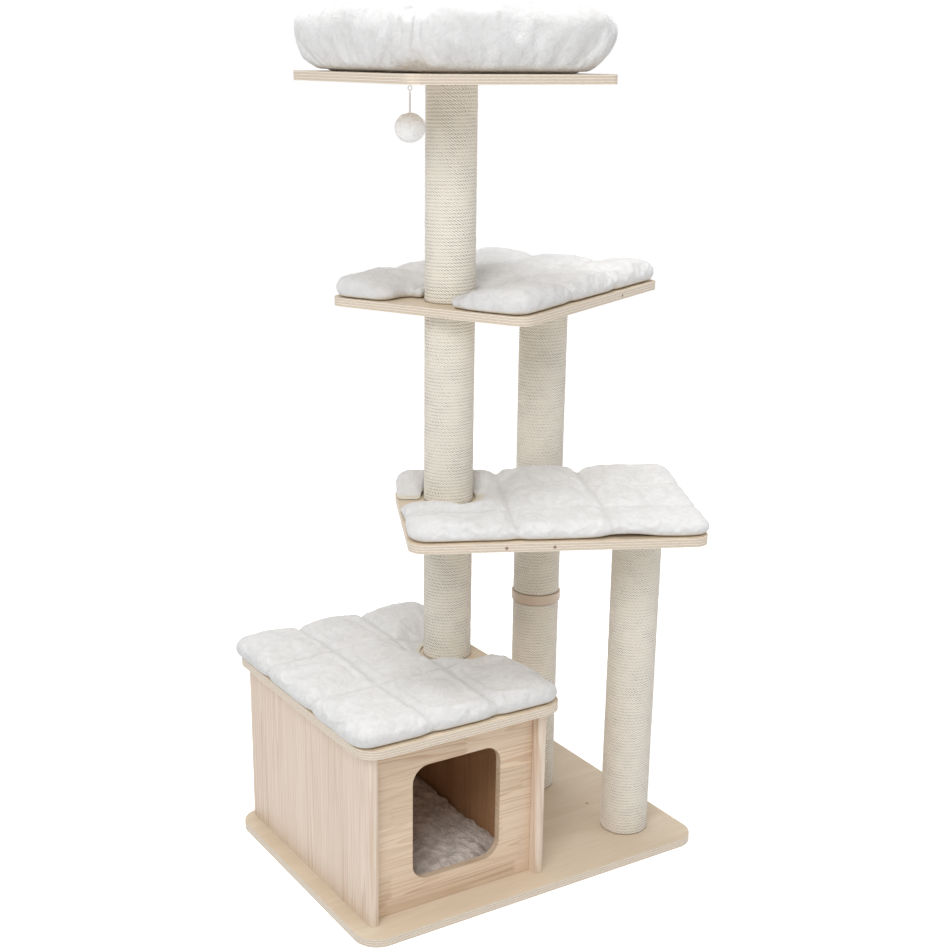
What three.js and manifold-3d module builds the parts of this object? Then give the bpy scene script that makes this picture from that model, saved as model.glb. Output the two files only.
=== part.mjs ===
// A free-standing cat tree: a plywood base with a pine cave, three sisal-wound posts, three plywood
// platforms, loose plush pads, a plush bed on top and a plush ball on a cord.
// Millimetres, +Z up. The origin is the centre of the base plate's underside, +X runs along the base's
// long side and the cave's opening faces -Y.
import * as THREE from "three";
import { mergeVertices } from "three/addons/utils/BufferGeometryUtils.js";
import Module from "manifold-3d";

const wasm = await Module();
wasm.setup();

// ---- driving dimensions -------------------------------------------------------------------------
const PLY = 16; // thickness of every plywood plate
const BASE = { width: 730, depth: 530, corner: 45 };

const HOUSE = { left: -335, right: 26, front: -224, back: 250, top: 344 }; // outside of the pine walls
const WALL = 18; // pine wall thickness
const BULLNOSE = 6; // rounding of the walls' front edges
const PANEL = 15; // front and back panels, set between the walls
const PANEL_RECESS = 20; // from the walls' front edges back to the front panel
const OPENING = { centre: -150, width: 180, bottom: 67, top: 287, corner: 32 };
const ROOF = { left: -358, right: 50, front: -247, back: 264, corner: 40 };

const POST_RADIUS = 45; // outside of the sisal winding
const ROPE = 6; // sisal rope diameter, which is the winding's thickness
const TUBE_WALL = 4; // cardboard tube under the winding
const PLUG = 18; // wooden disc glued into each end of a tube
const MAIN = { x: -12, y: 56 };
const REAR = { x: 212, y: 84 };
const RIGHT = { x: 265, y: -157 };
const RING = { bottom: 421, top: 440, radius: 48 }; // wooden spacer between the rear post's two parts

// Platforms: centre, size, turn about Z in degrees and the height of the underside.
const LOWER = { x: 92.5, y: -105, width: 517, depth: 340, turn: -25.6, z: 650, corner: 28 };
const MIDDLE = { x: 152, y: 138.5, width: 537, depth: 405, turn: 26.4, z: 1015, corner: 28 };
const UPPER = { x: -12, y: 56, width: 404, depth: 414, turn: 0, z: 1400, corner: 20 };

const STUD = { radius: 4, hole: 4.6, reach: 32 }; // M8 threaded rods and bolts, and their holes
const BOLT_HEAD = { radius: 7.5, height: 3 };
const BOLT_SINK = BOLT_HEAD.height + 0.5; // depth of the pocket that hides a head

const PAD = { thickness: 38, inset: 4, corner: 30, bevel: 9 };
const NOTCH_GAP = 8; // from a post to the round cut-out in a pad
// The mouth of each pad's notch, from its front side to its back side, about the post's centre.
const NOTCH_MOUTH = { house: [-60, 64], lower: [-48, -4], middle: [-64, 86] };
const BED = { width: 408, depth: 420, height: 104, wall: 78, corner: 92, bevel: 22, floor: 30 };
const BED_BASE = { inset: 26, height: 12, corner: 70 };
const CAVE_CUSHION = { left: -309, right: 2, front: -176, back: 222, height: 32, corner: 30 };

const BALL = { x: -109, y: 30, z: 1329, radius: 25 }; // plush ball and the point it hangs under
const CORD = { radius: 1.25, gap: 0.3 };
const EYELET = { z: 1391.5, ring: 3.6, wire: 0.9 };
const BUTTON = { radius: 5.5, height: 2.5 };

const TURN_SIDES = 28;
const TUBE_SIDES = 16;
const SMALL_SIDES = 12;

// ---- materials ----------------------------------------------------------------------------------
function material(colour, roughness, metalness = 0) {
  return new THREE.MeshStandardMaterial({ color: colour, roughness, metalness });
}
const PLYWOOD = material(0xe0c8a4, 0.55);
const PINE = material(0xe3c3a0, 0.6);
const SISAL = material(0xe9e0cc, 0.95);
const CARDBOARD = material(0xb08f68, 0.9);
const PLUSH = material(0xf0eeea, 1.0);
const GREY_PLUSH = material(0xb9aca0, 1.0);
const COTTON = material(0xe2d8c6, 0.95);
const STEEL = material(0xb9bcc0, 0.35, 1.0);
const WHITE_PLASTIC = material(0xf0f0ee, 0.4);

// ---- outlines -----------------------------------------------------------------------------------
// A rectangle from its sides, with one radius at all corners or one for each, from the lower left round.
function roundedRectangle(left, right, front, back, radius, Kind = THREE.Shape) {
  const [r0, r1, r2, r3] = Array.isArray(radius) ? radius : [radius, radius, radius, radius];
  const shape = new Kind();
  shape.moveTo(left + r0, front);
  shape.lineTo(right - r1, front);
  shape.absarc(right - r1, front + r1, r1, -Math.PI / 2, 0, false);
  shape.lineTo(right, back - r2);
  shape.absarc(right - r2, back - r2, r2, 0, Math.PI / 2, false);
  shape.lineTo(left + r3, back);
  shape.absarc(left + r3, back - r3, r3, Math.PI / 2, Math.PI, false);
  shape.lineTo(left, front + r0);
  shape.absarc(left + r0, front + r0, r0, Math.PI, Math.PI * 1.5, false);
  return shape;
}

function circlePath(x, y, radius) {
  const path = new THREE.Path();
  path.absarc(x, y, radius, 0, Math.PI * 2, true);
  return path;
}

// ---- solids -------------------------------------------------------------------------------------
function named(name, geometry, finish) {
  const mesh = new THREE.Mesh(geometry, finish);
  mesh.name = name;
  return mesh;
}

// A flat plate from an outline, standing on height z.
function plate(shape, z, thickness, curveSegments = 8) {
  const geometry = new THREE.ExtrudeGeometry(shape, { depth: thickness, bevelEnabled: false, curveSegments });
  geometry.translate(0, 0, z);
  return geometry;
}

// A soft body from an outline, with rounded upper and lower edges, standing on height z.
function cushion(shape, z, thickness, bevel, curveSegments = 6) {
  const geometry = new THREE.ExtrudeGeometry(shape, {
    depth: thickness - 2 * bevel,
    bevelEnabled: true,
    bevelThickness: bevel,
    bevelSize: bevel,
    bevelOffset: -bevel,
    bevelSegments: 3,
    curveSegments,
  });
  geometry.translate(0, 0, z + bevel);
  return geometry;
}

// A body turned about a vertical axis from [radius, height] points.
function turned(points, x, y, sides = TURN_SIDES) {
  const profile = points.map(([radius, height]) => new THREE.Vector2(radius, height));
  const geometry = new THREE.LatheGeometry(profile, sides);
  geometry.rotateX(Math.PI / 2);
  geometry.translate(x, y, 0);
  return geometry;
}

// A tube or ring about a vertical axis: its section closes on itself.
function sleeve(inner, outer, bottom, top, x, y, sides) {
  const section = [
    [inner, bottom],
    [outer, bottom],
    [outer, top],
    [inner, top],
    [inner, bottom],
  ];
  return turned(section, x, y, sides);
}

function rod(radius, bottom, top, x, y) {
  const section = [
    [0, bottom],
    [radius, bottom],
    [radius, top],
    [0, top],
  ];
  return turned(section, x, y, SMALL_SIDES);
}

// A bolt with a low round head; up is +1 when its shank points up.
function bolt(seat, length, up, x, y) {
  const section = [
    [0, -BOLT_HEAD.height],
    [BOLT_HEAD.radius, -BOLT_HEAD.height],
    [BOLT_HEAD.radius, 0],
    [STUD.radius, 0],
    [STUD.radius, length],
    [0, length],
  ];
  const placed = section.map(([radius, height]) => [radius, seat + up * height]);
  if (up < 0) placed.reverse();
  return turned(placed, x, y, SMALL_SIDES);
}

function toSolid(geometry) {
  const bare = geometry.clone();
  bare.deleteAttribute("normal");
  bare.deleteAttribute("uv");
  const merged = mergeVertices(bare, 1e-4);
  const vertProperties = new Float32Array(merged.attributes.position.array);
  const triVerts = new Uint32Array(merged.index.array);
  return new wasm.Manifold(new wasm.Mesh({ numProp: 3, vertProperties, triVerts }));
}

function toGeometry(solid) {
  const mesh = solid.getMesh();
  const geometry = new THREE.BufferGeometry();
  geometry.setAttribute("position", new THREE.BufferAttribute(new Float32Array(mesh.vertProperties), 3));
  geometry.setIndex(new THREE.BufferAttribute(new Uint32Array(mesh.triVerts), 1));
  geometry.computeVertexNormals();
  return geometry;
}

// ---- base and cave ------------------------------------------------------------------------------
function basePlate() {
  const { width, depth, corner } = BASE;
  const shape = roundedRectangle(-width / 2, width / 2, -depth / 2, depth / 2, corner);
  shape.holes.push(circlePath(REAR.x, REAR.y, STUD.hole), circlePath(RIGHT.x, RIGHT.y, STUD.hole));
  const sunk = [REAR, RIGHT].map((post) => rod(BOLT_HEAD.radius + 1, -1, BOLT_SINK, post.x, post.y));
  let solid = toSolid(plate(shape, 0, PLY));
  for (const pocket of sunk) solid = solid.subtract(toSolid(pocket));
  return named("base_plate", toGeometry(solid), PLYWOOD);
}

// A side wall: its front edge is a bullnose and its back edge is square.
function sideWall(name, left) {
  const right = left + WALL;
  const shape = roundedRectangle(left, right, HOUSE.front, HOUSE.back, [BULLNOSE, BULLNOSE, 0.5, 0.5]);
  return named(name, plate(shape, PLY, HOUSE.top - PLY, 5), PINE);
}

// A panel that stands between the side walls, as an outline in X and Z pushed back along Y.
function standingPanel(name, shape, frontFace) {
  const geometry = new THREE.ExtrudeGeometry(shape, { depth: PANEL, bevelEnabled: false, curveSegments: 8 });
  geometry.rotateX(Math.PI / 2);
  geometry.translate(0, frontFace + PANEL, 0);
  return named(name, geometry, PINE);
}

function caveOutline() {
  const left = HOUSE.left + WALL;
  const right = HOUSE.right - WALL;
  const shape = new THREE.Shape();
  shape.moveTo(left, PLY);
  shape.lineTo(right, PLY);
  shape.lineTo(right, HOUSE.top);
  shape.lineTo(left, HOUSE.top);
  shape.closePath();
  return shape;
}

function house() {
  const { centre, width, bottom, top, corner } = OPENING;
  const front = caveOutline();
  front.holes.push(
    roundedRectangle(centre - width / 2, centre + width / 2, bottom, top, corner, THREE.Path),
  );
  const roof = roundedRectangle(ROOF.left, ROOF.right, ROOF.front, ROOF.back, ROOF.corner);
  roof.holes.push(circlePath(MAIN.x, MAIN.y, STUD.hole));
  return [
    sideWall("house_left_wall", HOUSE.left),
    sideWall("house_right_wall", HOUSE.right - WALL),
    standingPanel("house_front_panel", front, HOUSE.front + PANEL_RECESS),
    standingPanel("house_back_panel", caveOutline(), HOUSE.back - PANEL - 2),
    named("house_top_plate", plate(roof, HOUSE.top, PLY), PLYWOOD),
  ];
}

// ---- posts --------------------------------------------------------------------------------------
// One post segment: a cardboard tube, a wooden plug in each end and the sisal winding round it.
function segment(name, post, bottom, top) {
  const { x, y } = post;
  const tubeOuter = POST_RADIUS - ROPE;
  const tubeInner = tubeOuter - TUBE_WALL;
  const plug = (foot) => sleeve(STUD.hole, tubeInner - 0.9, foot, foot + PLUG, x, y, SMALL_SIDES);
  return [
    named(`${name}_sisal`, sleeve(tubeOuter + 0.3, POST_RADIUS, bottom, top, x, y), SISAL),
    named(`${name}_tube`, sleeve(tubeInner, tubeOuter, bottom, top, x, y, TUBE_SIDES), CARDBOARD),
    named(`${name}_bottom_plug`, plug(bottom), PINE),
    named(`${name}_top_plug`, plug(top - PLUG), PINE),
  ];
}

function posts() {
  const roofTop = HOUSE.top + PLY;
  const ring = sleeve(STUD.hole, RING.radius, RING.bottom, RING.top, REAR.x, REAR.y);
  return [
    ...segment("main_post_lower", MAIN, roofTop, LOWER.z),
    ...segment("main_post_middle", MAIN, LOWER.z + PLY, MIDDLE.z),
    ...segment("main_post_upper", MAIN, MIDDLE.z + PLY, UPPER.z),
    ...segment("rear_post_lower", REAR, PLY, RING.bottom),
    ...segment("rear_post_upper", REAR, RING.top, MIDDLE.z),
    ...segment("right_post", RIGHT, PLY, LOWER.z),
    named("rear_spacer_ring", ring, PINE),
  ];
}

// Threaded rods and bolts that pull the posts and the plates together.
function fasteners() {
  const { reach, radius } = STUD;
  const through = (name, post, bottom, top) =>
    named(name, rod(radius, bottom - reach, top + reach, post.x, post.y), STEEL);
  const up = (name, post, seat, thickness) =>
    named(name, bolt(seat, thickness + reach, 1, post.x, post.y), STEEL);
  const down = (name, post, top) =>
    named(name, bolt(top - BOLT_SINK, PLY + reach, -1, post.x, post.y), STEEL);
  return [
    up("main_post_foot_bolt", MAIN, HOUSE.top, PLY),
    through("main_post_lower_stud", MAIN, LOWER.z, LOWER.z + PLY),
    through("main_post_middle_stud", MAIN, MIDDLE.z, MIDDLE.z + PLY),
    down("main_post_head_bolt", MAIN, UPPER.z + PLY),
    up("rear_post_foot_bolt", REAR, BOLT_SINK, PLY),
    through("rear_ring_stud", REAR, RING.bottom, RING.top),
    down("rear_post_head_bolt", REAR, MIDDLE.z + PLY),
    up("right_post_foot_bolt", RIGHT, BOLT_SINK, PLY),
    down("right_post_head_bolt", RIGHT, LOWER.z + PLY),
  ];
}

// ---- platforms ----------------------------------------------------------------------------------
// A point of the part in a platform's own frame.
function localPoint(platform, point) {
  const turn = THREE.MathUtils.degToRad(-platform.turn);
  const x = point.x - platform.x;
  const y = point.y - platform.y;
  return { x: x * Math.cos(turn) - y * Math.sin(turn), y: x * Math.sin(turn) + y * Math.cos(turn) };
}

function onPlatform(platform, meshes) {
  const group = new THREE.Group();
  group.position.set(platform.x, platform.y, 0);
  group.rotation.z = THREE.MathUtils.degToRad(platform.turn);
  group.add(...meshes);
  return group;
}

// A platform plate with a hole over each post and a pocket for the head of the bolt in the last one.
function platformPlate(name, platform, posts) {
  const { width, depth, corner, z } = platform;
  const shape = roundedRectangle(-width / 2, width / 2, -depth / 2, depth / 2, corner);
  const centres = posts.map((post) => localPoint(platform, post));
  for (const { x, y } of centres) shape.holes.push(circlePath(x, y, STUD.hole));
  const last = centres[centres.length - 1];
  const top = z + PLY;
  const pocket = rod(BOLT_HEAD.radius + 1, top - BOLT_SINK, top + 1, last.x, last.y);
  return named(name, toGeometry(toSolid(plate(shape, z, PLY)).subtract(toSolid(pocket))), PLYWOOD);
}

// ---- soft parts ---------------------------------------------------------------------------------
// A pad with a round cut-out for a post, open to its left edge (side -1) or right edge (side +1).
function notchedPad(name, bounds, post, side, mouth, z) {
  const { left, right, front, back } = bounds;
  const outline = roundedRectangle(left, right, front, back, PAD.corner);
  const body = toSolid(cushion(outline, z, PAD.thickness, PAD.bevel));
  const beyond = side < 0 ? left - 20 : right + 20;
  const slot = roundedRectangle(
    Math.min(beyond, post.x),
    Math.max(beyond, post.x),
    post.y + mouth[0],
    post.y + mouth[1],
    1,
  );
  const foot = z - 5;
  const tall = PAD.thickness + 10;
  const channel = toSolid(plate(slot, foot, tall, 2));
  const round = toSolid(turned(
    [[0, foot], [POST_RADIUS + NOTCH_GAP, foot], [POST_RADIUS + NOTCH_GAP, foot + tall], [0, foot + tall]],
    post.x,
    post.y,
  ));
  return named(name, toGeometry(body.subtract(channel).subtract(round)), PLUSH);
}

function padBounds(platform) {
  const { width, depth } = platform;
  return {
    left: -width / 2 + PAD.inset,
    right: width / 2 - PAD.inset,
    front: -depth / 2 + PAD.inset,
    back: depth / 2 - PAD.inset,
  };
}

function bed() {
  const z = UPPER.z + PLY;
  const { width, depth, height, wall, corner, bevel, floor } = BED;
  const outside = roundedRectangle(-width / 2, width / 2, -depth / 2, depth / 2, corner);
  const innerX = width / 2 - wall;
  const innerY = depth / 2 - wall;
  const inside = roundedRectangle(-innerX, innerX, -innerY, innerY, corner - wall / 2);
  const baseX = width / 2 - BED_BASE.inset;
  const baseY = depth / 2 - BED_BASE.inset;
  const underside = roundedRectangle(-baseX, baseX, -baseY, baseY, BED_BASE.corner);
  const bolsterFoot = z + BED_BASE.height + 0.3;
  const block = toSolid(cushion(outside, bolsterFoot, height - BED_BASE.height, bevel, 8));
  const hollow = toSolid(plate(inside, z + floor, height, 8));
  return [
    named("bed_bolster", toGeometry(block.subtract(hollow)), PLUSH),
    named("bed_base_cushion", plate(underside, z, BED_BASE.height), COTTON),
  ];
}

function caveCushion() {
  const { left, right, front, back, corner, height } = CAVE_CUSHION;
  const shape = roundedRectangle(left, right, front, back, corner);
  return named("cave_cushion", cushion(shape, PLY, height, 8), GREY_PLUSH);
}

// ---- plush ball ---------------------------------------------------------------------------------
function hangingBall() {
  const { x, y, z, radius } = BALL;
  const ballTop = z + radius - 1;
  const ball = new THREE.SphereGeometry(radius, 16, 10);
  ball.rotateX(Math.PI / 2);
  const shaved = toSolid(ball.translate(x, y, z)).subtract(toSolid(rod(radius, ballTop, ballTop + 5, x, y)));
  const cordBottom = ballTop + CORD.gap;
  const cordTop = EYELET.z - EYELET.ring - EYELET.wire - CORD.gap;
  const ring = new THREE.TorusGeometry(EYELET.ring, EYELET.wire, 8, 16);
  ring.rotateX(Math.PI / 2);
  const buttonBottom = UPPER.z - BUTTON.height;
  return [
    named("pompom_ball", toGeometry(shaved), PLUSH),
    named("pompom_cord", turnedCord(x, y, cordBottom, cordTop), PLUSH),
    named("pompom_eyelet", ring.translate(x, y, EYELET.z), WHITE_PLASTIC),
    named("pompom_button", rod(BUTTON.radius, buttonBottom, UPPER.z, x, y), WHITE_PLASTIC),
  ];
}

function turnedCord(x, y, bottom, top) {
  const section = new THREE.Shape();
  section.absarc(0, 0, CORD.radius, 0, Math.PI * 2, false);
  const route = new THREE.LineCurve3(new THREE.Vector3(x, y, bottom), new THREE.Vector3(x, y, top));
  return new THREE.ExtrudeGeometry(section, {
    steps: 6,
    extrudePath: route,
    bevelEnabled: false,
    curveSegments: 4,
  });
}

// ---- assembly -----------------------------------------------------------------------------------
const roofPad = {
  left: ROOF.left + PAD.inset,
  right: ROOF.right - PAD.inset,
  front: ROOF.front + PAD.inset,
  back: ROOF.back - PAD.inset,
};
const lowerPost = localPoint(LOWER, MAIN);
const middlePost = localPoint(MIDDLE, MAIN);

const catTree = new THREE.Group();
catTree.add(
  basePlate(),
  ...house(),
  caveCushion(),
  ...posts(),
  ...fasteners(),
  onPlatform(LOWER, [
    platformPlate("lower_platform", LOWER, [MAIN, RIGHT]),
    notchedPad("lower_pad", padBounds(LOWER), lowerPost, -1, NOTCH_MOUTH.lower, LOWER.z + PLY),
  ]),
  onPlatform(MIDDLE, [
    platformPlate("middle_platform", MIDDLE, [MAIN, REAR]),
    notchedPad("middle_pad", padBounds(MIDDLE), middlePost, -1, NOTCH_MOUTH.middle, MIDDLE.z + PLY),
  ]),
  onPlatform(UPPER, [platformPlate("upper_platform", UPPER, [MAIN]), ...bed()]),
  notchedPad("house_pad", roofPad, MAIN, 1, NOTCH_MOUTH.house, HOUSE.top + PLY),
  ...hangingBall(),
);

export default catTree;
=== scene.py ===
"""Looks for the cat tree: sisal, timber, plywood, quilted plush, the bed and the hanging ball.

Lengths are in metres in the row frame. Places come from the frame's nodes, and the two turned
platforms repeat their turn here because a bounding box can't hold it.
"""

import math
import random

import bmesh
import bpy
import numpy as np
from mathutils import Matrix, Vector, noise
from mathutils.geometry import delaunay_2d_cdt


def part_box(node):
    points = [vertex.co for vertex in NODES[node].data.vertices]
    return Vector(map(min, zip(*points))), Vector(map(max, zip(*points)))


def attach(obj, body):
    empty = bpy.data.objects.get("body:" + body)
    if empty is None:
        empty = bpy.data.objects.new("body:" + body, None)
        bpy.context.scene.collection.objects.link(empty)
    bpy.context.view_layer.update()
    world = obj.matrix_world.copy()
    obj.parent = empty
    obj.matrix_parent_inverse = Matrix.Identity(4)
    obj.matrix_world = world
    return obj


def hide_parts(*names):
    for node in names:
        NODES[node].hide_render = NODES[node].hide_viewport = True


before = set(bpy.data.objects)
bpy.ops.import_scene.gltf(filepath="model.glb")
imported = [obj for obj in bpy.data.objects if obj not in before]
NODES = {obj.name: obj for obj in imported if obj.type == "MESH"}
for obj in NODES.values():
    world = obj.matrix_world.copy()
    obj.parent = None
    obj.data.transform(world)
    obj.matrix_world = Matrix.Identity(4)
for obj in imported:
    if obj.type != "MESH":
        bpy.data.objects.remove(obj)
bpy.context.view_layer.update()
MM = 0.001

# ---- driving dimensions ----
POST_RADIUS = 45 * MM
ROPE = 6 * MM
PLY = 16 * MM
PAD_INSET = 4 * MM
PAD_CORNER = 34 * MM
PAD_THICK = 0.034
PAD_GAP = 0.006  # from a post to the round cut-out in a pad

# Turn of each platform about Z, in degrees, and its width and depth.
LOWER = {"turn": -25.6, "width": 517 * MM, "depth": 340 * MM}
MIDDLE = {"turn": 26.4, "width": 537 * MM, "depth": 405 * MM}
ROOF = {"turn": 0.0, "width": 408 * MM, "depth": 511 * MM}


def centre_of(node):
    low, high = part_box(node)
    return (Vector(low) + Vector(high)) / 2


def top_of(node):
    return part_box(node)[1][2]


def bottom_of(node):
    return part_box(node)[0][2]


def half_size_of(node):
    low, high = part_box(node)
    return [(b - a) / 2 for a, b in zip(low, high)]


def add_object(name, data):
    made = bpy.data.objects.new(name, data)
    bpy.context.scene.collection.objects.link(made)
    return made


for platform, node in ((LOWER, "lower_platform"), (MIDDLE, "middle_platform"), (ROOF, "house_top_plate")):
    platform["centre"] = centre_of(node)
    platform["top"] = top_of(node)

# ---- camera ----
CAMERA_PLACE = Vector((-1.3965, -2.168, 1.4432))
CAMERA_HEADING = 32.16  # degrees from +Y towards +X
CAMERA_DROP = 18.11  # degrees below the horizon
CAMERA_ROLL = -0.56
CAMERA_LENS = 56.13
CAMERA_SHIFT = (0.0219, 0.0682)
SENSOR = 36.0


def make_camera():
    data = bpy.data.cameras.new("camera")
    data.sensor_width = SENSOR
    data.lens = CAMERA_LENS
    data.shift_x, data.shift_y = CAMERA_SHIFT
    data.clip_end = 50
    camera = add_object("camera", data)
    heading = math.radians(CAMERA_HEADING)
    drop = math.radians(CAMERA_DROP)
    roll = math.radians(CAMERA_ROLL)
    level = math.cos(drop)
    forward = Vector((math.sin(heading) * level, math.cos(heading) * level, -math.sin(drop)))
    right = Vector((math.cos(heading), -math.sin(heading), 0))
    down = forward.cross(right)
    rolled_right = right * math.cos(roll) + down * math.sin(roll)
    rolled_up = -(down * math.cos(roll) - right * math.sin(roll))
    turn = Matrix((rolled_right, rolled_up, -forward)).transposed()
    camera.matrix_world = Matrix.Translation(CAMERA_PLACE) @ turn.to_4x4()
    bpy.context.scene.camera = camera


make_camera()


# ---- material tools ----
def fill_ramp(node, stops):
    """Sets a colour ramp's stops. A number instead of a colour is a grey."""
    elements = node.color_ramp.elements
    while len(elements) < len(stops):
        elements.new(0.5)
    for element, (place, colour) in zip(elements, stops):
        element.position = place
        element.color = (*colour, 1) if isinstance(colour, tuple) else (colour, colour, colour, 1)


class Nodes:
    """Shorthand for one material's node tree."""

    def __init__(self, name, roughness=0.6, sheen=0.0, specular=0.5, metallic=0.0, coat=0.0):
        self.material = bpy.data.materials.new(name)
        self.material.use_nodes = True
        self.tree = self.material.node_tree
        self.shader = self.tree.nodes["Principled BSDF"]
        self.set(self.shader, "Roughness", roughness)
        self.set(self.shader, "Metallic", metallic)
        self.set(self.shader, "Specular IOR Level", specular)
        self.set(self.shader, "Sheen Weight", sheen)
        self.set(self.shader, "Sheen Roughness", 0.5)
        self.set(self.shader, "Coat Weight", coat)

    def set(self, node, socket, value):
        node.inputs[socket].default_value = value

    def add(self, kind, **values):
        node = self.tree.nodes.new(kind)
        for key, value in values.items():
            setattr(node, key, value)
        return node

    def link(self, output, target, socket):
        self.tree.links.new(output, target.inputs[socket])

    def coordinates(self, scale=(1, 1, 1), turn=0.0):
        """Object coordinates in metres, turned about Z so that X runs along the grain, then scaled."""
        source = self.add("ShaderNodeTexCoord").outputs["Object"]
        turned = self.add("ShaderNodeMapping", vector_type="POINT")
        turned.inputs["Rotation"].default_value = (0, 0, math.radians(-turn))
        self.link(source, turned, "Vector")
        scaled = self.add("ShaderNodeMapping", vector_type="POINT")
        scaled.inputs["Scale"].default_value = scale
        self.link(turned.outputs[0], scaled, "Vector")
        return scaled.outputs[0]

    def centred(self, place):
        """Object coordinates in metres, counted from a place."""
        node = self.add("ShaderNodeMapping", vector_type="POINT")
        node.inputs["Location"].default_value = [-c for c in place]
        self.link(self.add("ShaderNodeTexCoord").outputs["Object"], node, "Vector")
        return node.outputs[0]

    def noise(self, vector, scale, detail=4.0, roughness=0.55, distortion=0.0):
        node = self.add("ShaderNodeTexNoise")
        self.set(node, "Scale", scale)
        self.set(node, "Detail", detail)
        self.set(node, "Roughness", roughness)
        self.set(node, "Distortion", distortion)
        self.link(vector, node, "Vector")
        return node.outputs["Fac"]

    def voronoi(self, vector, scale, feature="F1"):
        node = self.add("ShaderNodeTexVoronoi", feature=feature)
        self.set(node, "Scale", scale)
        self.link(vector, node, "Vector")
        return node.outputs["Distance"]

    def ramp(self, value, stops):
        node = self.add("ShaderNodeValToRGB")
        fill_ramp(node, stops)
        self.link(value, node, "Fac")
        return node.outputs["Color"]

    def math(self, operation, a, b=0.0, clamp=False):
        node = self.add("ShaderNodeMath", operation=operation, use_clamp=clamp)
        for index, value in enumerate((a, b)):
            if isinstance(value, (int, float)):
                node.inputs[index].default_value = value
            else:
                self.link(value, node, index)
        return node.outputs[0]

    def plus(self, a, b):
        return self.math("ADD", a, b)

    def less(self, a, b, clamp=False):
        return self.math("SUBTRACT", a, b, clamp)

    def times(self, a, b, clamp=False):
        return self.math("MULTIPLY", a, b, clamp)

    def over(self, a, b):
        return self.math("DIVIDE", a, b)

    def mix(self, factor, a, b, blend="MIX"):
        node = self.add("ShaderNodeMix", data_type="RGBA", blend_type=blend)
        for name, value in (("Factor", factor), ("A", a), ("B", b)):
            socket = [s for s in node.inputs if s.name == name and s.enabled][0]
            if isinstance(value, (int, float)):
                socket.default_value = value
            elif isinstance(value, tuple):
                socket.default_value = (*value, 1)
            else:
                self.tree.links.new(value, socket)
        return [s for s in node.outputs if s.enabled][0]

    def separate(self, vector):
        node = self.add("ShaderNodeSeparateXYZ")
        self.link(vector, node, "Vector")
        return node.outputs

    def colour(self, value):
        self.link(value, self.shader, "Base Color")

    def rough(self, value):
        self.link(value, self.shader, "Roughness")

    def bump(self, heights):
        """Bumps from (height, strength, distance) triples, stacked."""
        previous = None
        for height, strength, distance in heights:
            node = self.add("ShaderNodeBump")
            self.set(node, "Strength", strength)
            self.set(node, "Distance", distance)
            self.link(height, node, "Height")
            if previous:
                self.link(previous, node, "Normal")
            previous = node.outputs[0]
        self.link(previous, self.shader, "Normal")


def grain_vector(tools, along, turn, stretch):
    """Object coordinates squeezed along one axis, so that noise on them looks like wood grain."""
    scale = [stretch, stretch, stretch]
    scale["XYZ".index(along)] = 1.0
    return tools.coordinates(scale=tuple(scale), turn=turn)


# ---- timber ----
PLY_FACE = (0.74, 0.62, 0.47)
PLY_DARK = (0.58, 0.45, 0.32)


def plywood(name, turn, foot, knots=()):
    """Birch plywood: a rotary-cut face with long soft figure, and plies on the edges counted from foot."""
    tools = Nodes(name, roughness=0.5, coat=0.04)
    grain = grain_vector(tools, "X", turn, 9.0)
    figure = tools.noise(grain, 1.6, 3.0, 0.5, 1.4)
    fine = tools.noise(grain, 22.0, 5.0, 0.6)
    face = tools.ramp(
        figure,
        [(0.25, (0.70, 0.575, 0.43)), (0.48, PLY_FACE),
         (0.60, (0.775, 0.665, 0.52)), (0.8, (0.70, 0.585, 0.44))],
    )
    face = tools.mix(tools.times(tools.less(fine, 0.35, True), 0.6), face, PLY_DARK)
    plain = tools.coordinates()
    height = tools.separate(plain)[2]
    layer = tools.times(tools.less(height, foot), 7 / PLY)
    wobble = tools.times(tools.noise(plain, 26.0, 2.0), 0.22)
    layer = tools.math("FRACT", tools.times(tools.plus(layer, wobble), 0.5))
    stripes = tools.ramp(
        layer,
        [
            (0.0, (0.90, 0.82, 0.71)),
            (0.40, (0.86, 0.77, 0.65)),
            (0.46, (0.33, 0.23, 0.15)),
            (0.53, (0.70, 0.59, 0.47)),
            (0.90, (0.77, 0.66, 0.54)),
            (0.96, (0.31, 0.21, 0.14)),
        ],
    )
    dashes = tools.noise(tools.coordinates(scale=(1, 1, 4)), 210.0, 2.0)
    dashes = tools.times(tools.less(dashes, 0.42, True), 2.2, True)
    stripes = tools.mix(tools.times(dashes, 0.55), stripes, (0.50, 0.38, 0.27))
    normal = tools.add("ShaderNodeNewGeometry").outputs["True Normal"]
    up = tools.math("ABSOLUTE", tools.separate(normal)[2])
    on_face = tools.ramp(up, [(0.45, 0), (0.75, 1)])
    colour = tools.mix(on_face, stripes, face)
    for place, size in knots:
        length = tools.add("ShaderNodeVectorMath", operation="LENGTH")
        tools.link(tools.centred(place), length, 0)
        mark = tools.ramp(tools.over(length.outputs["Value"], size), [(0.25, 1), (1.0, 0)])
        colour = tools.mix(mark, colour, (0.22, 0.12, 0.07))
    tools.colour(colour)
    tools.rough(tools.plus(tools.times(fine, 0.16), 0.42))
    tools.bump([(fine, 0.12, 0.0006), (layer, 0.12, 0.0004)])
    return tools.material


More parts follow.
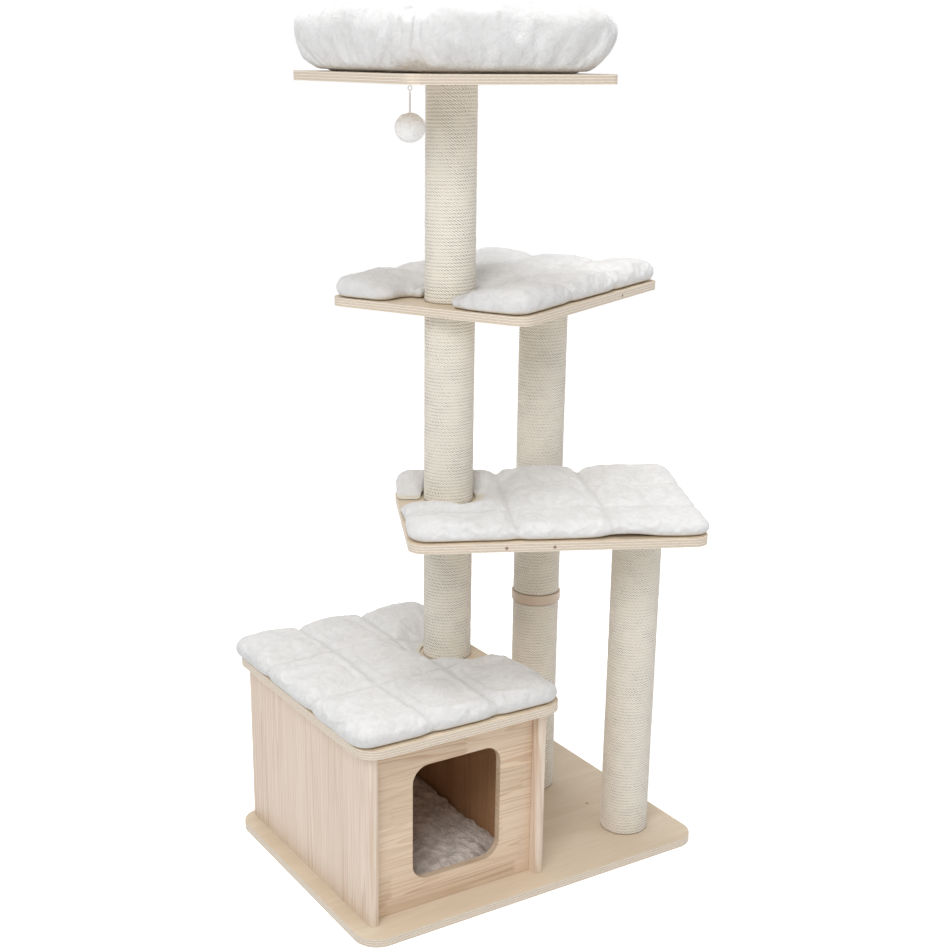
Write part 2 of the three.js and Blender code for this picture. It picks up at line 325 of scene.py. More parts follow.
def pine(name, along, across, light, deep, board, lines, straight, fingers=False, inside=None):
    """Solid pine glued up from strips: grain runs along one axis and the strips lie side by side on another.

    lines sets how many growth lines cross it and straight how little they waver. inside holds the two X
    planes that the cave's painted shade lies between, and the Y plane that it starts at: there the wood is
    darkened and browned to stand in for the shade inside the cave.
    """
    tools = Nodes(name, roughness=0.5, coat=0.05)
    plain = tools.separate(tools.coordinates())
    run = plain["XYZ".index(along)]
    side = plain["XYZ".index(across)]
    strip = tools.math("FLOOR", tools.over(side, board))
    cell = tools.add("ShaderNodeCombineXYZ")
    tools.link(strip, cell, 0)
    offset = tools.add("ShaderNodeTexWhiteNoise", noise_dimensions="1D")
    tools.link(strip, offset, "W")
    shift = tools.times(offset.outputs["Value"], 7.0)
    piece_place = tools.plus(tools.over(run, 0.27 if fingers else 4.0), shift)
    teeth = tools.math("PINGPONG", tools.over(side, 0.0048), 0.5)
    if fingers:
        piece_place = tools.plus(piece_place, tools.times(teeth, 0.075))
    tools.link(tools.math("FLOOR", piece_place), cell, 1)
    tone = tools.add("ShaderNodeTexWhiteNoise", noise_dimensions="3D")
    tools.link(cell.outputs[0], tone, "Vector")

    def grain(stretch):
        moved = tools.add("ShaderNodeVectorMath", operation="ADD")
        spread = tools.add("ShaderNodeVectorMath", operation="SCALE")
        spread.inputs["Scale"].default_value = 9.0
        tools.link(tone.outputs["Color"], spread, 0)
        tools.link(grain_vector(tools, along, 0.0, stretch), moved, 0)
        tools.link(spread.outputs[0], moved, 1)
        return moved.outputs[0]

    rings = tools.noise(grain(straight), 22.0 / straight, 1.5, 0.35, 0.1)
    bands = tools.math("FRACT", tools.times(rings, lines))
    late = tools.ramp(bands, [(0.0, 0), (0.45, 0.12), (0.80, 1), (0.90, 0.9), (0.97, 0)])
    patches = tools.noise(grain(5.0), 2.3, 2.0, 0.5)
    strength = tools.ramp(patches, [(0.38, 0.25), (0.62, 1)])
    fine = tools.noise(grain(30.0), 16.0, 4.0, 0.6)
    pores = tools.times(tools.less(fine, 0.48, True), 2.4, True)
    colour = tools.mix(tools.times(tools.times(late, strength), 0.72), light, deep)
    colour = tools.mix(tools.times(pores, 0.55), colour, deep)
    shade = tools.ramp(
        tone.outputs["Value"], [(0.0, (0.88, 0.86, 0.83)), (0.5, (0.97, 0.96, 0.95)), (1.0, 1.0)]
    )
    colour = tools.mix(1.0, colour, shade, "MULTIPLY")

    edge = tools.math("PINGPONG", tools.over(side, board), 0.5)
    seam = tools.ramp(edge, [(0.0, 1), (0.014, 0)])
    if fingers:
        near = tools.math("PINGPONG", piece_place, 0.5)
        joints = tools.ramp(near, [(0.0, 1), (0.0035, 0)])
        seam = tools.math("MAXIMUM", seam, joints)
    colour = tools.mix(tools.times(seam, 0.38), colour, (0.45, 0.28, 0.16))
    # Painted shade: inside the cave the wood is multiplied darker and browner, standing in for the shade
    # there.
    if inside:
        x = plain[0]
        within = tools.times(tools.math("GREATER_THAN", x, inside[0]), tools.math("LESS_THAN", x, inside[1]))
        within = tools.times(within, tools.math("GREATER_THAN", plain[1], inside[2]))
        cave_shade = tools.mix(1.0, colour, (0.92, 0.68, 0.46), "MULTIPLY")
        colour = tools.mix(within, colour, cave_shade)
    tools.colour(colour)
    tools.rough(tools.plus(tools.times(fine, 0.18), 0.42))
    tools.bump([(fine, 0.16, 0.0006), (seam, -0.2, 0.0004)])
    return tools.material


# ---- other materials ----
def sisal(name, centre, bottom, top):
    """Twisted sisal: strands lie slantwise on each turn of rope.

    Painted shade darkens the dips between strands, most of all the dips between two turns, and a painted
    contact shadow darkens the rope at both ends of the post.
    """
    tools = Nodes(name, roughness=0.84, sheen=0.2, specular=0.2)
    centred = tools.centred((centre.x, centre.y, 0))
    x, y, z = tools.separate(centred)[:3]
    around = tools.math("ARCTAN2", y, x)
    arc_place = tools.times(around, POST_RADIUS)
    waver = tools.times(tools.noise(centred, 75.0, 3.0), 1.7)
    slant = tools.plus(tools.times(around, STRANDS / (2 * math.pi)), tools.times(z, 1.5 / ROPE))
    strand = tools.math("PINGPONG", tools.plus(slant, waver), 0.5)
    groove = tools.ramp(strand, [(0.0, 1), (0.15, 0.75), (0.36, 0)])
    turns = tools.less(tools.over(z, ROPE), tools.over(around, 2 * math.pi))
    between = tools.math("PINGPONG", turns, 0.5)
    gap = tools.ramp(between, [(0.0, 1), (0.12, 0.5), (0.30, 0)])
    fibre_place = tools.add("ShaderNodeCombineXYZ")
    tools.link(tools.times(slant, 4.0), fibre_place, 0)
    tools.link(tools.times(arc_place, 70.0), fibre_place, 1)
    tools.link(tools.times(z, 70.0), fibre_place, 2)
    fibres = tools.noise(fibre_place.outputs[0], 4.0, 3.0, 0.6)
    patches = tools.noise(centred, 30.0, 3.0, 0.6)
    base = tools.ramp(
        tools.plus(tools.times(fibres, 0.6), tools.times(patches, 0.4)),
        [(0.32, (0.84, 0.77, 0.64)), (0.48, (0.95, 0.91, 0.82)), (0.7, (0.98, 0.955, 0.90))],
    )
    # Painted shade: colour darkened in the strand dips and between turns, standing in for the shade there.
    strand_shade = tools.times(groove, tools.plus(tools.times(gap, 0.75), 0.50))
    crevice_shade = tools.plus(strand_shade, tools.times(gap, 0.08))
    uneven = tools.ramp(patches, [(0.35, 0.45), (0.65, 1)])
    crevice_shade = tools.times(crevice_shade, uneven)
    # Painted contact shadow: the rope darkens within about 3 mm of each end of the post.
    nearest_end = tools.math("MINIMUM", tools.less(z, bottom), tools.less(top, z))
    contact_shade = tools.ramp(tools.over(nearest_end, 0.01), [(0.12, 1), (0.30, 0)])
    crevice_shade = tools.math("MAXIMUM", crevice_shade, tools.times(contact_shade, 0.9), True)
    colour = tools.mix(crevice_shade, base, (0.34, 0.265, 0.18))
    tools.colour(colour)
    tools.bump([(groove, -0.6, 0.0012), (fibres, 0.45, 0.0008)])
    return tools.material


def plush(name, light, shade, backing=None, foot=0.0, seam=0.0, clump=1.0, depth=1.0, shade_creases=False):
    """Short-pile plush. Its backing shows up to seam above foot, and the last flag paints shade along the
    quilting lines.
    """
    tools = Nodes(name, roughness=0.95, sheen=0.30, specular=0.08)
    tools.shader.inputs["Sheen Tint"].default_value = (1, 1, 1, 1)
    plain = tools.coordinates()
    tufts = tools.voronoi(plain, 300.0 / clump, "SMOOTH_F1")
    soft = tools.noise(plain, 60.0 / clump, 4.0, 0.6, 0.8)
    wide = tools.noise(plain, 12.0, 3.0, 0.5)
    hair = tools.noise(plain, 560.0, 2.0, 0.6)
    tone = tools.plus(tools.times(soft, 0.75), tools.times(wide, 0.25))
    pile = tools.ramp(tone, [(0.34, shade), (0.58, light)])
    colour = tools.mix(tools.times(tufts, 0.16), pile, shade)
    if shade_creases:
        # Painted shade: the quilting creases are darkened from the seam attribute, standing in for the shade
        # in them.
        crease_shade = tools.add("ShaderNodeAttribute", attribute_name="seam").outputs["Fac"]
        colour = tools.mix(tools.times(crease_shade, 0.4), colour, tuple(c * 0.72 for c in shade))
    heights = [(soft, 0.22 * depth, 0.004), (tufts, 0.42 * depth, 0.002), (hair, 0.45 * depth, 0.0008)]
    if backing:
        height = tools.separate(plain)[2]
        ragged = tools.times(tools.less(soft, 0.5), 0.005)
        level = tools.less(tools.plus(height, ragged), foot)
        cover = tools.ramp(tools.over(level, max(seam, 1e-4)), [(0.75, 0), (1.0, 1)])
        weave = tools.noise(plain, 900.0, 1.0)
        cloth = tools.mix(weave, backing, tuple(c * 0.86 for c in backing))
        colour = tools.mix(cover, cloth, colour)
    tools.colour(colour)
    tools.bump(heights)
    return tools.material


def cotton(name, colour):
    tools = Nodes(name, roughness=0.9, sheen=0.15, specular=0.2)
    plain = tools.coordinates()
    weave = tools.voronoi(plain, 1100.0)
    wide = tools.noise(plain, 25.0, 3.0)
    tone = tools.ramp(wide, [(0.3, tuple(c * 0.88 for c in colour)), (0.7, colour)])
    tools.colour(tools.mix(tools.times(weave, 0.3), tone, tuple(c * 0.7 for c in colour)))
    tools.bump([(weave, 0.4, 0.0006), (wide, 0.2, 0.002)])
    return tools.material


def simple(name, colour, roughness, metallic=0.0, scale=60.0, amount=0.12, stretch=(1, 1, 1)):
    """A plain finish with slight colour and gloss variation, for plastic, steel, card and raw timber."""
    tools = Nodes(name, roughness=roughness, metallic=metallic)
    place = tools.coordinates(scale=stretch)
    mottle = tools.noise(place, scale, 4.0, 0.6)
    dark = tuple(c * (1 - amount) for c in colour)
    tools.colour(tools.mix(mottle, dark, colour))
    tools.rough(tools.plus(tools.times(mottle, 0.15), roughness - 0.07))
    tools.bump([(mottle, 0.15, 0.0005)])
    return tools.material


# ---- mesh tools ----
def new_object(name, vertices, faces, smooth=True):
    mesh = bpy.data.meshes.new(name)
    mesh.from_pydata([tuple(v) for v in vertices], [], faces)
    mesh.validate()
    if smooth:
        mesh.polygons.foreach_set("use_smooth", [True] * len(mesh.polygons))
    mesh.update()
    return add_object(name, mesh)


def dress(piece, material):
    piece.data.materials.clear()
    piece.data.materials.append(material)


def apply_modifiers(piece):
    graph = bpy.context.evaluated_depsgraph_get()
    baked = bpy.data.meshes.new_from_object(piece.evaluated_get(graph))
    piece.modifiers.clear()
    piece.data = baked


def smoothing_group():
    """A node group that shades smooth except across edges sharper than 35 degrees."""
    group = bpy.data.node_groups.new("smooth_by_angle", "GeometryNodeTree")
    group.interface.new_socket("Geometry", in_out="INPUT", socket_type="NodeSocketGeometry")
    group.interface.new_socket("Geometry", in_out="OUTPUT", socket_type="NodeSocketGeometry")
    add = group.nodes.new
    join = group.links.new
    start = add("NodeGroupInput")
    end = add("NodeGroupOutput")
    faces = add("GeometryNodeSetShadeSmooth")
    faces.domain = "FACE"
    edges = add("GeometryNodeSetShadeSmooth")
    edges.domain = "EDGE"
    edges.inputs["Shade Smooth"].default_value = False
    angle = add("GeometryNodeInputMeshEdgeAngle")
    compare = add("FunctionNodeCompare")
    compare.data_type = "FLOAT"
    compare.operation = "GREATER_THAN"
    compare.inputs[1].default_value = math.radians(35)
    join(angle.outputs["Unsigned Angle"], compare.inputs[0])
    join(compare.outputs[0], edges.inputs["Selection"])
    join(start.outputs[0], faces.inputs["Geometry"])
    join(faces.outputs[0], edges.inputs["Geometry"])
    join(edges.outputs[0], end.inputs[0])
    return group


SMOOTHING = smoothing_group()


def ease_edges(node, width):
    """Rounds a CAD node's sharp edges with modifiers, which leave its own mesh alone."""
    piece = NODES[node]
    weld = piece.modifiers.new("weld", "WELD")
    weld.merge_threshold = 1e-5
    bevel = piece.modifiers.new("bevel", "BEVEL")
    bevel.width = width
    bevel.segments = 3
    bevel.limit_method = "ANGLE"
    bevel.angle_limit = math.radians(50)
    smooth = piece.modifiers.new("smooth", "NODES")
    smooth.node_group = SMOOTHING
    level = piece.modifiers.new("level", "WEIGHTED_NORMAL")
    level.mode = "FACE_AREA"
    level.weight = 90
    level.keep_sharp = True


def ring_faces(around, across, inside_out=False):
    """The faces of a grid of points that closes on itself both ways."""
    faces = []
    for k in range(around):
        after = (k + 1) % around
        for s in range(across):
            up = (s + 1) % across
            a, b, c, d = k * across + s, after * across + s, after * across + up, k * across + up
            faces.append((a, d, c, b) if inside_out else (a, b, c, d))
    return faces


# ---- sisal winding ----
STRANDS = 46  # slanting strands seen round one turn of rope
WINDING_SIDES = 64
WINDING_ROWS = 6  # rows of points across each turn of rope


def winding(name, node):
    """A post's rope: rows of points that climb with the rope, so each turn is one smooth ridge."""
    low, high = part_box(node)
    centre = centre_of(node)
    bottom = low[2] + 0.0003
    top = high[2] - 0.0003
    outer = POST_RADIUS - ROPE / 2
    inner = POST_RADIUS - ROPE
    rows = (int((top - bottom) / ROPE) + 3) * WINDING_ROWS

    def place(row, side):
        """A point on the rope, held between the post's two ends."""
        climb = (row - WINDING_ROWS) / WINDING_ROWS + side / WINDING_SIDES
        z = min(max(bottom + climb * ROPE, bottom), top)
        across = 2 * (((z - bottom) / ROPE - side / WINDING_SIDES) % 1.0) - 1
        angle = 2 * math.pi * side / WINDING_SIDES
        loose = noise.noise(Vector((math.cos(angle) * 2.5, math.sin(angle) * 2.5, z * 70))) * 0.0005
        radius = outer + ROPE / 2 * (0.58 + 0.42 * math.sqrt(max(0.0, 1 - across * across))) + loose
        return (centre.x + radius * math.cos(angle), centre.y + radius * math.sin(angle), z)

    vertices = [place(row, side) for row in range(rows + 1) for side in range(WINDING_SIDES)]

    def index(row, side):
        if side == WINDING_SIDES:
            return (row + WINDING_ROWS) * WINDING_SIDES
        return row * WINDING_SIDES + side

    faces = []
    for row in range(rows):
        for side in range(WINDING_SIDES):
            if side == WINDING_SIDES - 1 and row + 1 + WINDING_ROWS > rows:
                continue
            corners = (row, side), (row, side + 1), (row + 1, side + 1), (row + 1, side)
            faces.append(tuple(index(*corner) for corner in corners))
    rims = []
    for z in (bottom, top):
        rims.append(len(vertices))
        for side in range(WINDING_SIDES):
            angle = 2 * math.pi * side / WINDING_SIDES
            vertices.append((centre.x + inner * math.cos(angle), centre.y + inner * math.sin(angle), z))
    last = rows * WINDING_SIDES
    for side in range(WINDING_SIDES):
        after = (side + 1) % WINDING_SIDES
        faces.append((rims[0] + side, rims[0] + after, after, side))
        faces.append((last + side, last + after, rims[1] + after, rims[1] + side))
        faces.append((rims[1] + side, rims[1] + after, rims[0] + after, rims[0] + side))
    piece = new_object(name, vertices, faces)
    shape = bmesh.new()
    shape.from_mesh(piece.data)
    bmesh.ops.remove_doubles(shape, verts=shape.verts, dist=1e-6)
    shape.to_mesh(piece.data)
    shape.free()
    piece.data.update()
    dress(piece, sisal(f"{name}_mat", centre, bottom, top))
    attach(piece, "frame")
    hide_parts(node)
    return piece


# ---- quilted pads ----
GRID = 0.0075  # spacing of the points in a pad's cloth
RIM_RINGS = (0.0022, 0.0052, 0.0092, 0.0142)  # rows of points just inside a pad's edge
RIM_HEIGHT = 0.42  # of a pad's thickness
STITCH = 0.009  # half the width of the groove at a line of stitching
CHANNEL = 0.034  # half the width of the wider dip round that groove
SHOULDER = 0.024  # from a pad's edge to its full height
UNDERSIDE = 0.012  # from a pad's edge to where its underside lies flat
SCALLOP = 0.0055  # how far stitching draws a pad's edge in


def arc(cx, cy, radius, start, end):
    count = max(2, int(abs(end - start) * radius / GRID) + 1)
    angles = [start + (end - start) * k / count for k in range(count + 1)]
    return [(cx + radius * math.cos(a), cy + radius * math.sin(a)) for a in angles]


def corner_arcs(left, right, front, back, r):
    """The rounded corners of a rectangle: front right, back right, back left and front left."""
    half = math.pi / 2
    places = ((right - r, front + r), (right - r, back - r), (left + r, back - r), (left + r, front + r))
    return [arc(x, y, r, (k - 1) * half, k * half) for k, (x, y) in enumerate(places)]


def rounded_outline(half_x, half_y, r):
    return sum(corner_arcs(-half_x, half_x, -half_y, half_y, r), [])


def notched_outline(sides, slot, lip):
    """A pad's outline, anticlockwise, with a round cut-out for a post that opens to one side.

    slot holds the post's place, the side that it opens to (-1 left, 1 right), the mouth's two edges counted
    from the post, and the cut-out's radius. lip rounds the mouth's corners.
    """
    left, right, front, back = sides
    (px, py), side, mouth, reach = slot
    half = math.pi / 2
    low = py + mouth[0]
    high = py + mouth[1]
    edge = left if side < 0 else right
    low_angle = math.asin(max(-0.94, min(0.94, mouth[0] / reach)))
    high_angle = math.asin(max(-0.94, min(0.94, mouth[1] / reach)))
    front_right, back_right, back_left, front_left = corner_arcs(left, right, front, back, PAD_CORNER)
    # Where a mouth is wider than the cut-out, its sides step in beside the post.
    step_x = px + side * reach * 0.30
    high_step = [(step_x + side * 0.012, high), (step_x, high - 0.006)] if mouth[1] > reach else []
    low_step = [(step_x, low + 0.006), (step_x + side * 0.012, low)] if mouth[0] < -reach else []
    if side < 0:
        lobe_high = arc(edge + lip, high + lip, lip, math.pi, math.pi * 1.5)
        lobe_low = arc(edge + lip, low - lip, lip, half, math.pi)
        round_part = arc(px, py, reach, math.pi - high_angle, -math.pi - low_angle)
        notch = lobe_high + high_step + round_part + low_step + lobe_low
        return front_right + back_right + back_left + notch + front_left
    lobe_low = arc(edge - lip, low - lip, lip, 0, half)
    lobe_high = arc(edge - lip, high + lip, lip, -half, 0)
    round_part = arc(px, py, reach, low_angle + 2 * math.pi, high_angle)
    notch = lobe_low + low_step[::-1] + round_part + high_step[::-1] + lobe_high
    return front_right + notch + back_right + back_left + front_left


def resample(outline):
    """Points at even steps round a closed outline."""
    points = [Vector(p) for p in outline]
    lengths = [0.0]
    for a, b in zip(points, points[1:] + points[:1]):
        lengths.append(lengths[-1] + (b - a).length)
    count = int(lengths[-1] / GRID)
    made = []
    index = 0
    for k in range(count):
        target = lengths[-1] * k / count
        while lengths[index + 1] < target:
            index += 1
        span = max(lengths[index + 1] - lengths[index], 1e-9)
        t = (target - lengths[index]) / span
        made.append(points[index].lerp(points[(index + 1) % len(points)], t))
    return made


def distance_to_loop(points, loop):
    """Distance of each point to a closed loop of points."""
    a = np.array([tuple(p) for p in loop])
    b = np.roll(a, -1, axis=0)
    best = np.full(len(points), 1e9)
    for start, end in zip(a, b):
        along = end - start
        t = np.clip(((points - start) @ along) / (along @ along), 0, 1)
        gap = np.linalg.norm(points - start - t[:, None] * along, axis=1)
        best = np.minimum(best, gap)
    return best


def inward(loop, k):
    """The direction into a loop, square to it at its point k."""
    along = (loop[(k + 1) % len(loop)] - loop[k - 1]).normalized()
    return Vector((-along.y, along.x))


def pad_shell(outline, heights_at, jitter_seed):
    """A closed shell over an outline. heights_at gives each point's upper and lower height.

    The rim has one row of points, at the upper height.
    """
    loop = resample(outline)
    rng = random.Random(jitter_seed)
    rings = []
    for offset in RIM_RINGS:
        ring = np.array([tuple(point + inward(loop, k) * offset) for k, point in enumerate(loop)])
        gaps = distance_to_loop(ring, loop)
        rings.append(ring[gaps > offset * 0.93])
    xs = [p.x for p in loop]
    ys = [p.y for p in loop]
    inside = []
    row = 0
    y = min(ys) + GRID
    while y < max(ys):
        x = min(xs) + (GRID / 2 if row % 2 else GRID)
        while x < max(xs):
            inside.append((x + rng.uniform(-1, 1) * GRID * 0.08, y + rng.uniform(-1, 1) * GRID * 0.08))
            x += GRID
        y += GRID * 0.866
        row += 1
    grid = np.array(inside)
    loop_array = np.array([tuple(p) for p in loop])
    grid = grid[distance_to_loop(grid, loop) > RIM_RINGS[-1] + GRID * 0.6]
    start = [Vector((p[0], p[1])) for p in np.concatenate([loop_array, *rings, grid])]
    result = delaunay_2d_cdt(start, [], [list(range(len(loop)))], 1, 1e-7)
    flat = np.array([tuple(p) for p in result[0]])
    to_edge = distance_to_loop(flat, loop)
    on_rim = to_edge < 1e-5
    count = len(flat)
    above, below = heights_at(flat, to_edge)
    vertices = [(p[0], p[1], above[i]) for i, p in enumerate(flat)]
    lower = {}
    for i in range(count):
        if on_rim[i]:
            lower[i] = i
        else:
            lower[i] = len(vertices)
            vertices.append((flat[i][0], flat[i][1], below[i]))
    faces = []
    for a, b, c in [tuple(f) for f in result[2]]:
        pa, pb, pc = flat[a], flat[b], flat[c]
        if (pb[0] - pa[0]) * (pc[1] - pa[1]) - (pb[1] - pa[1]) * (pc[0] - pa[0]) < 0:
            a, b, c = a, c, b
        faces.append((a, b, c))
        if not (on_rim[a] and on_rim[b] and on_rim[c]):
            faces.append((lower[a], lower[c], lower[b]))
    upper = [i for i in range(count) if not on_rim[i]]
    return vertices, faces, upper, flat, to_edge


def dome(to_edge, reach):
    """0 at the rim, rising as a rounded shoulder to 1 at reach and beyond."""
    turn = np.clip(to_edge / reach, 0, 1)
    return np.clip(1 - (1 - turn) ** 2, 0, 1) ** 0.5


def seam_distance(flat, seams_x, seams_y):
    """Distance of each point to the nearest seam line, with a slight waver in each seam."""
    best = np.full(len(flat), 1e9)
    for k, place in enumerate(seams_x):
        line = place + 0.004 * np.sin(flat[:, 1] * 17 + k * 2.1)
        best = np.minimum(best, np.abs(flat[:, 0] - line))
    for k, place in enumerate(seams_y):
        line = place + 0.004 * np.sin(flat[:, 0] * 15 + k * 1.3)
        best = np.minimum(best, np.abs(flat[:, 1] - line))
    return best


CLOTH = {
    "quality": 6, "mass": 0.15, "tension_stiffness": 12, "compression_stiffness": 8, "shear_stiffness": 6,
    "bending_stiffness": 2.5, "air_damping": 3, "use_pressure": True, "pin_stiffness": 1.0,
}


def swell(piece, pinned, pressure, frames, shrink, cap):
    """Blows a closed cloth up from the inside while some of its points stay put, and keeps the result."""
    before = np.array([tuple(v.co) for v in piece.data.vertices])
    group = piece.vertex_groups.new(name="held")
    for index, weight in pinned.items():
        group.add([index], weight, "REPLACE")
    cloth = piece.modifiers.new("cloth", "CLOTH")
    settings = cloth.settings
    for key, value in CLOTH.items():
        setattr(settings, key, value)
    settings.uniform_pressure_force = pressure
    settings.shrink_min = shrink
    settings.vertex_group_mass = "held"
    settings.effector_weights.gravity = 0
    cloth.collision_settings.use_collision = False
    cloth.collision_settings.use_self_collision = False
    cloth.point_cache.frame_start = 1
    cloth.point_cache.frame_end = frames
    scene = bpy.context.scene
    for step in range(1, frames + 1):
        scene.frame_set(step)
    graph = bpy.context.evaluated_depsgraph_get()
    after = np.array([tuple(v.co) for v in piece.evaluated_get(graph).data.vertices])
    piece.modifiers.clear()
    piece.vertex_groups.clear()
    scene.frame_set(1)
    moved = after - before
    size = np.linalg.norm(moved, axis=1)
    factor = np.minimum(1.0, cap / np.maximum(size, 1e-9))
    final = before + moved * factor[:, None]
    for vertex, place in zip(piece.data.vertices, final):
        vertex.co = place
    piece.data.update()


def subdivide(piece):
    modifier = piece.modifiers.new("smooth", "SUBSURF")
    modifier.levels = 1
    modifier.render_levels = 1
    apply_modifiers(piece)
    piece.data.shade_smooth()


def add_pile(piece, amount, scale, floor_z, seed):
    """Lifts the surface along its normals by clumpy noise, so that the pile has a real outline."""
    mesh = piece.data
    normals = [v.normal.copy() for v in mesh.vertices]
    shift = Vector((seed, seed * 2.3, seed * 1.7))
    for vertex, normal in zip(mesh.vertices, normals):
        place = vertex.co * scale + shift
        coarse = noise.noise(place)
        fine = noise.noise(place * 2.7)
        lift = amount * (0.65 * coarse + 0.35 * fine)
        lift *= max(0.0, min(1.0, (vertex.co.z - floor_z) / 0.012))
        vertex.co += normal * lift
    mesh.update()


def slot_distance(flat, slot):
    """Distance of each point to a pad's notch: the round cut-out and the mouth that opens from it."""
    (px, py), side, mouth, reach = slot
    along = (flat[:, 0] - px) * side
    across = flat[:, 1] - py
    beyond = np.maximum(np.maximum(mouth[0] - across, across - mouth[1]), 0)
    to_mouth = np.hypot(beyond, np.maximum(-along, 0))
    to_round = np.maximum(np.hypot(along, across) - reach, 0)
    return np.minimum(to_mouth, to_round)


def scalloped(outline, slot, seams_x, seams_y):
    """The outline drawn in a little where each line of stitching meets it, away from the notch."""
    loop = resample(outline)
    flat = np.array([tuple(p) for p in loop])
    pull = np.exp(-((seam_distance(flat, seams_x, seams_y) / 0.013) ** 2))
    clear = np.clip(slot_distance(flat, slot) / 0.02, 0, 1)
    pull *= clear
    moved = []
    for k, point in enumerate(loop):
        bulge = noise.noise(Vector((point.x * 14, point.y * 14, 3.0))) * 0.002
        moved.append(point + inward(loop, k) * (SCALLOP * pull[k] + bulge * clear[k]))
    return moved


def quilted_pad(node, platform, sides, side, mouth, lip, seams_x, seams_y, seed,
                thin_edge=0.2, thin_reach=0.065, slope=0.0, lifts=(), full_behind=False):
    """A notched, quilted plush pad, made flat in its platform's own frame and then turned into place.

    Within thin_reach of the notch the pad thins down to thin_edge of its height, though not behind the post
    if it is full_behind. slope makes it thicker to the back. Each of lifts is a place, a radius and a height.
    """
    name = f"{node}_quilt"
    body = f"{node}_body"
    slot = (local(platform, MAIN_POST), side, mouth, POST_RADIUS + PAD_GAP)
    rim = RIM_HEIGHT * PAD_THICK

    def heights_at(flat, to_edge):
        seam = seam_distance(flat, seams_x, seams_y)
        puff = 1 - 0.34 * np.exp(-((seam / STITCH) ** 2)) - 0.16 * np.exp(-((seam / CHANNEL) ** 2))
        sag = np.array([noise.noise(Vector((p[0] * 9, p[1] * 9, seed))) for p in flat])
        near = np.clip(slot_distance(flat, slot) / thin_reach, 0, 1)
        if full_behind:
            near = np.maximum(near, np.clip((flat[:, 1] - slot[0][1] - 0.006) / 0.03, 0, 1))
        thin = thin_edge + (1 - thin_edge) * near * near * (3 - 2 * near)
        thin = thin * (1 + slope * flat[:, 1] / (platform["depth"] / 2))
        above = (rim + (PAD_THICK - rim) * dome(to_edge, SHOULDER) * puff * (1 + 0.12 * sag)) * thin
        below = (rim - (rim - 0.0012) * dome(to_edge, UNDERSIDE)) * thin
        return above, np.minimum(below, above)

    outline = scalloped(notched_outline(sides, slot, lip), slot, seams_x, seams_y)
    vertices, faces, upper, flat, to_edge = pad_shell(outline, heights_at, seed)
    piece = new_object(name, vertices, faces)
    seam = seam_distance(flat, seams_x, seams_y)
    near_slot = slot_distance(flat, slot)
    pinned = {index: 1.0 for index in range(len(flat), len(vertices))}
    for index in range(len(flat)):
        if seam[index] < 0.0045 or near_slot[index] < 0.02:
            pinned[index] = 1.0
        elif to_edge[index] < 1e-5:
            pinned[index] = 0.7
    swell(piece, pinned, 3.0, 16, -0.045, 0.008)
    subdivide(piece)
    final = np.array([(v.co.x, v.co.y) for v in piece.data.vertices])
    # Painted shade for the quilting creases: a narrow band along each seam line, kept as the seam attribute.
    crease_shade = piece.data.attributes.new("seam", "FLOAT", "POINT")
    crease_shade.data.foreach_set("value", np.exp(-((seam_distance(final, seams_x, seams_y) / 0.0034) ** 2)))
    add_pile(piece, 0.0012, 150.0, 0.004, seed)
    for vertex in piece.data.vertices:
        for lift_x, lift_y, radius, height in lifts:
            away = math.hypot(vertex.co.x - lift_x, vertex.co.y - lift_y)
            vertex.co.z += height * math.exp(-((away / radius) ** 2))
        vertex.co.z = max(vertex.co.z, 0.0006)
    centre = platform["centre"]
    turn = Matrix.Rotation(math.radians(platform["turn"]), 4, "Z")
    place = Matrix.Translation((centre.x, centre.y, platform["top"])) @ turn
    piece.data.transform(place)
    piece.data.update()
    dress(
        piece,
        plush(f"{name}_mat", (0.77, 0.765, 0.765), (0.68, 0.675, 0.67), (0.80, 0.74, 0.63),
              platform["top"], 0.0065, shade_creases=True),
    )
    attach(piece, body)
    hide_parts(node)
    return piece


def local(platform, point):
    """A point of the row frame in a platform's own frame."""
    turn = math.radians(-platform["turn"])
    x = point[0] - platform["centre"].x
    y = point[1] - platform["centre"].y
    return (x * math.cos(turn) - y * math.sin(turn), x * math.sin(turn) + y * math.cos(turn))


def pad_sides(platform, left=0.0, right=0.0, back=0.0):
    """Left, right, front and back of a pad, with some of them let out past the usual inset."""
    half_x = platform["width"] / 2 - PAD_INSET
    half_y = platform["depth"] / 2 - PAD_INSET
    return -half_x - left, half_x + right, -half_y, half_y + back


MAIN_POST = centre_of("main_post_upper_sisal")


def make_pads():
    quilted_pad("lower_pad", LOWER, pad_sides(LOWER, left=0.004, right=0.009, back=0.004), side=-1,
                mouth=(-0.048, -0.004), lip=0.012, seams_x=(-0.072, 0.090), seams_y=(-0.057, 0.062), seed=3,
                thin_edge=0.10, thin_reach=0.095, slope=0.28, lifts=[(0.115, -0.175, 0.045, 0.007)],
                full_behind=True)
    quilted_pad("middle_pad", MIDDLE, pad_sides(MIDDLE, left=0.006, right=0.006), side=-1,
                mouth=(-0.042, 0.080), lip=0.032, seams_x=(-0.088, 0.088), seams_y=(-0.070, 0.070), seed=5,
                thin_edge=0.75)
    quilted_pad("house_pad", ROOF, pad_sides(ROOF, left=0.012, back=0.006), side=1,
                mouth=(-0.060, 0.064), lip=0.012, seams_x=(-0.071, 0.064), seams_y=(-0.0685, 0.1065), seed=8)


# ---- bed ----
BED_SECTION = 44  # points round the roll
STRAIGHT = 44  # points along each side of the bed
BEND = 26  # points round each of its corners


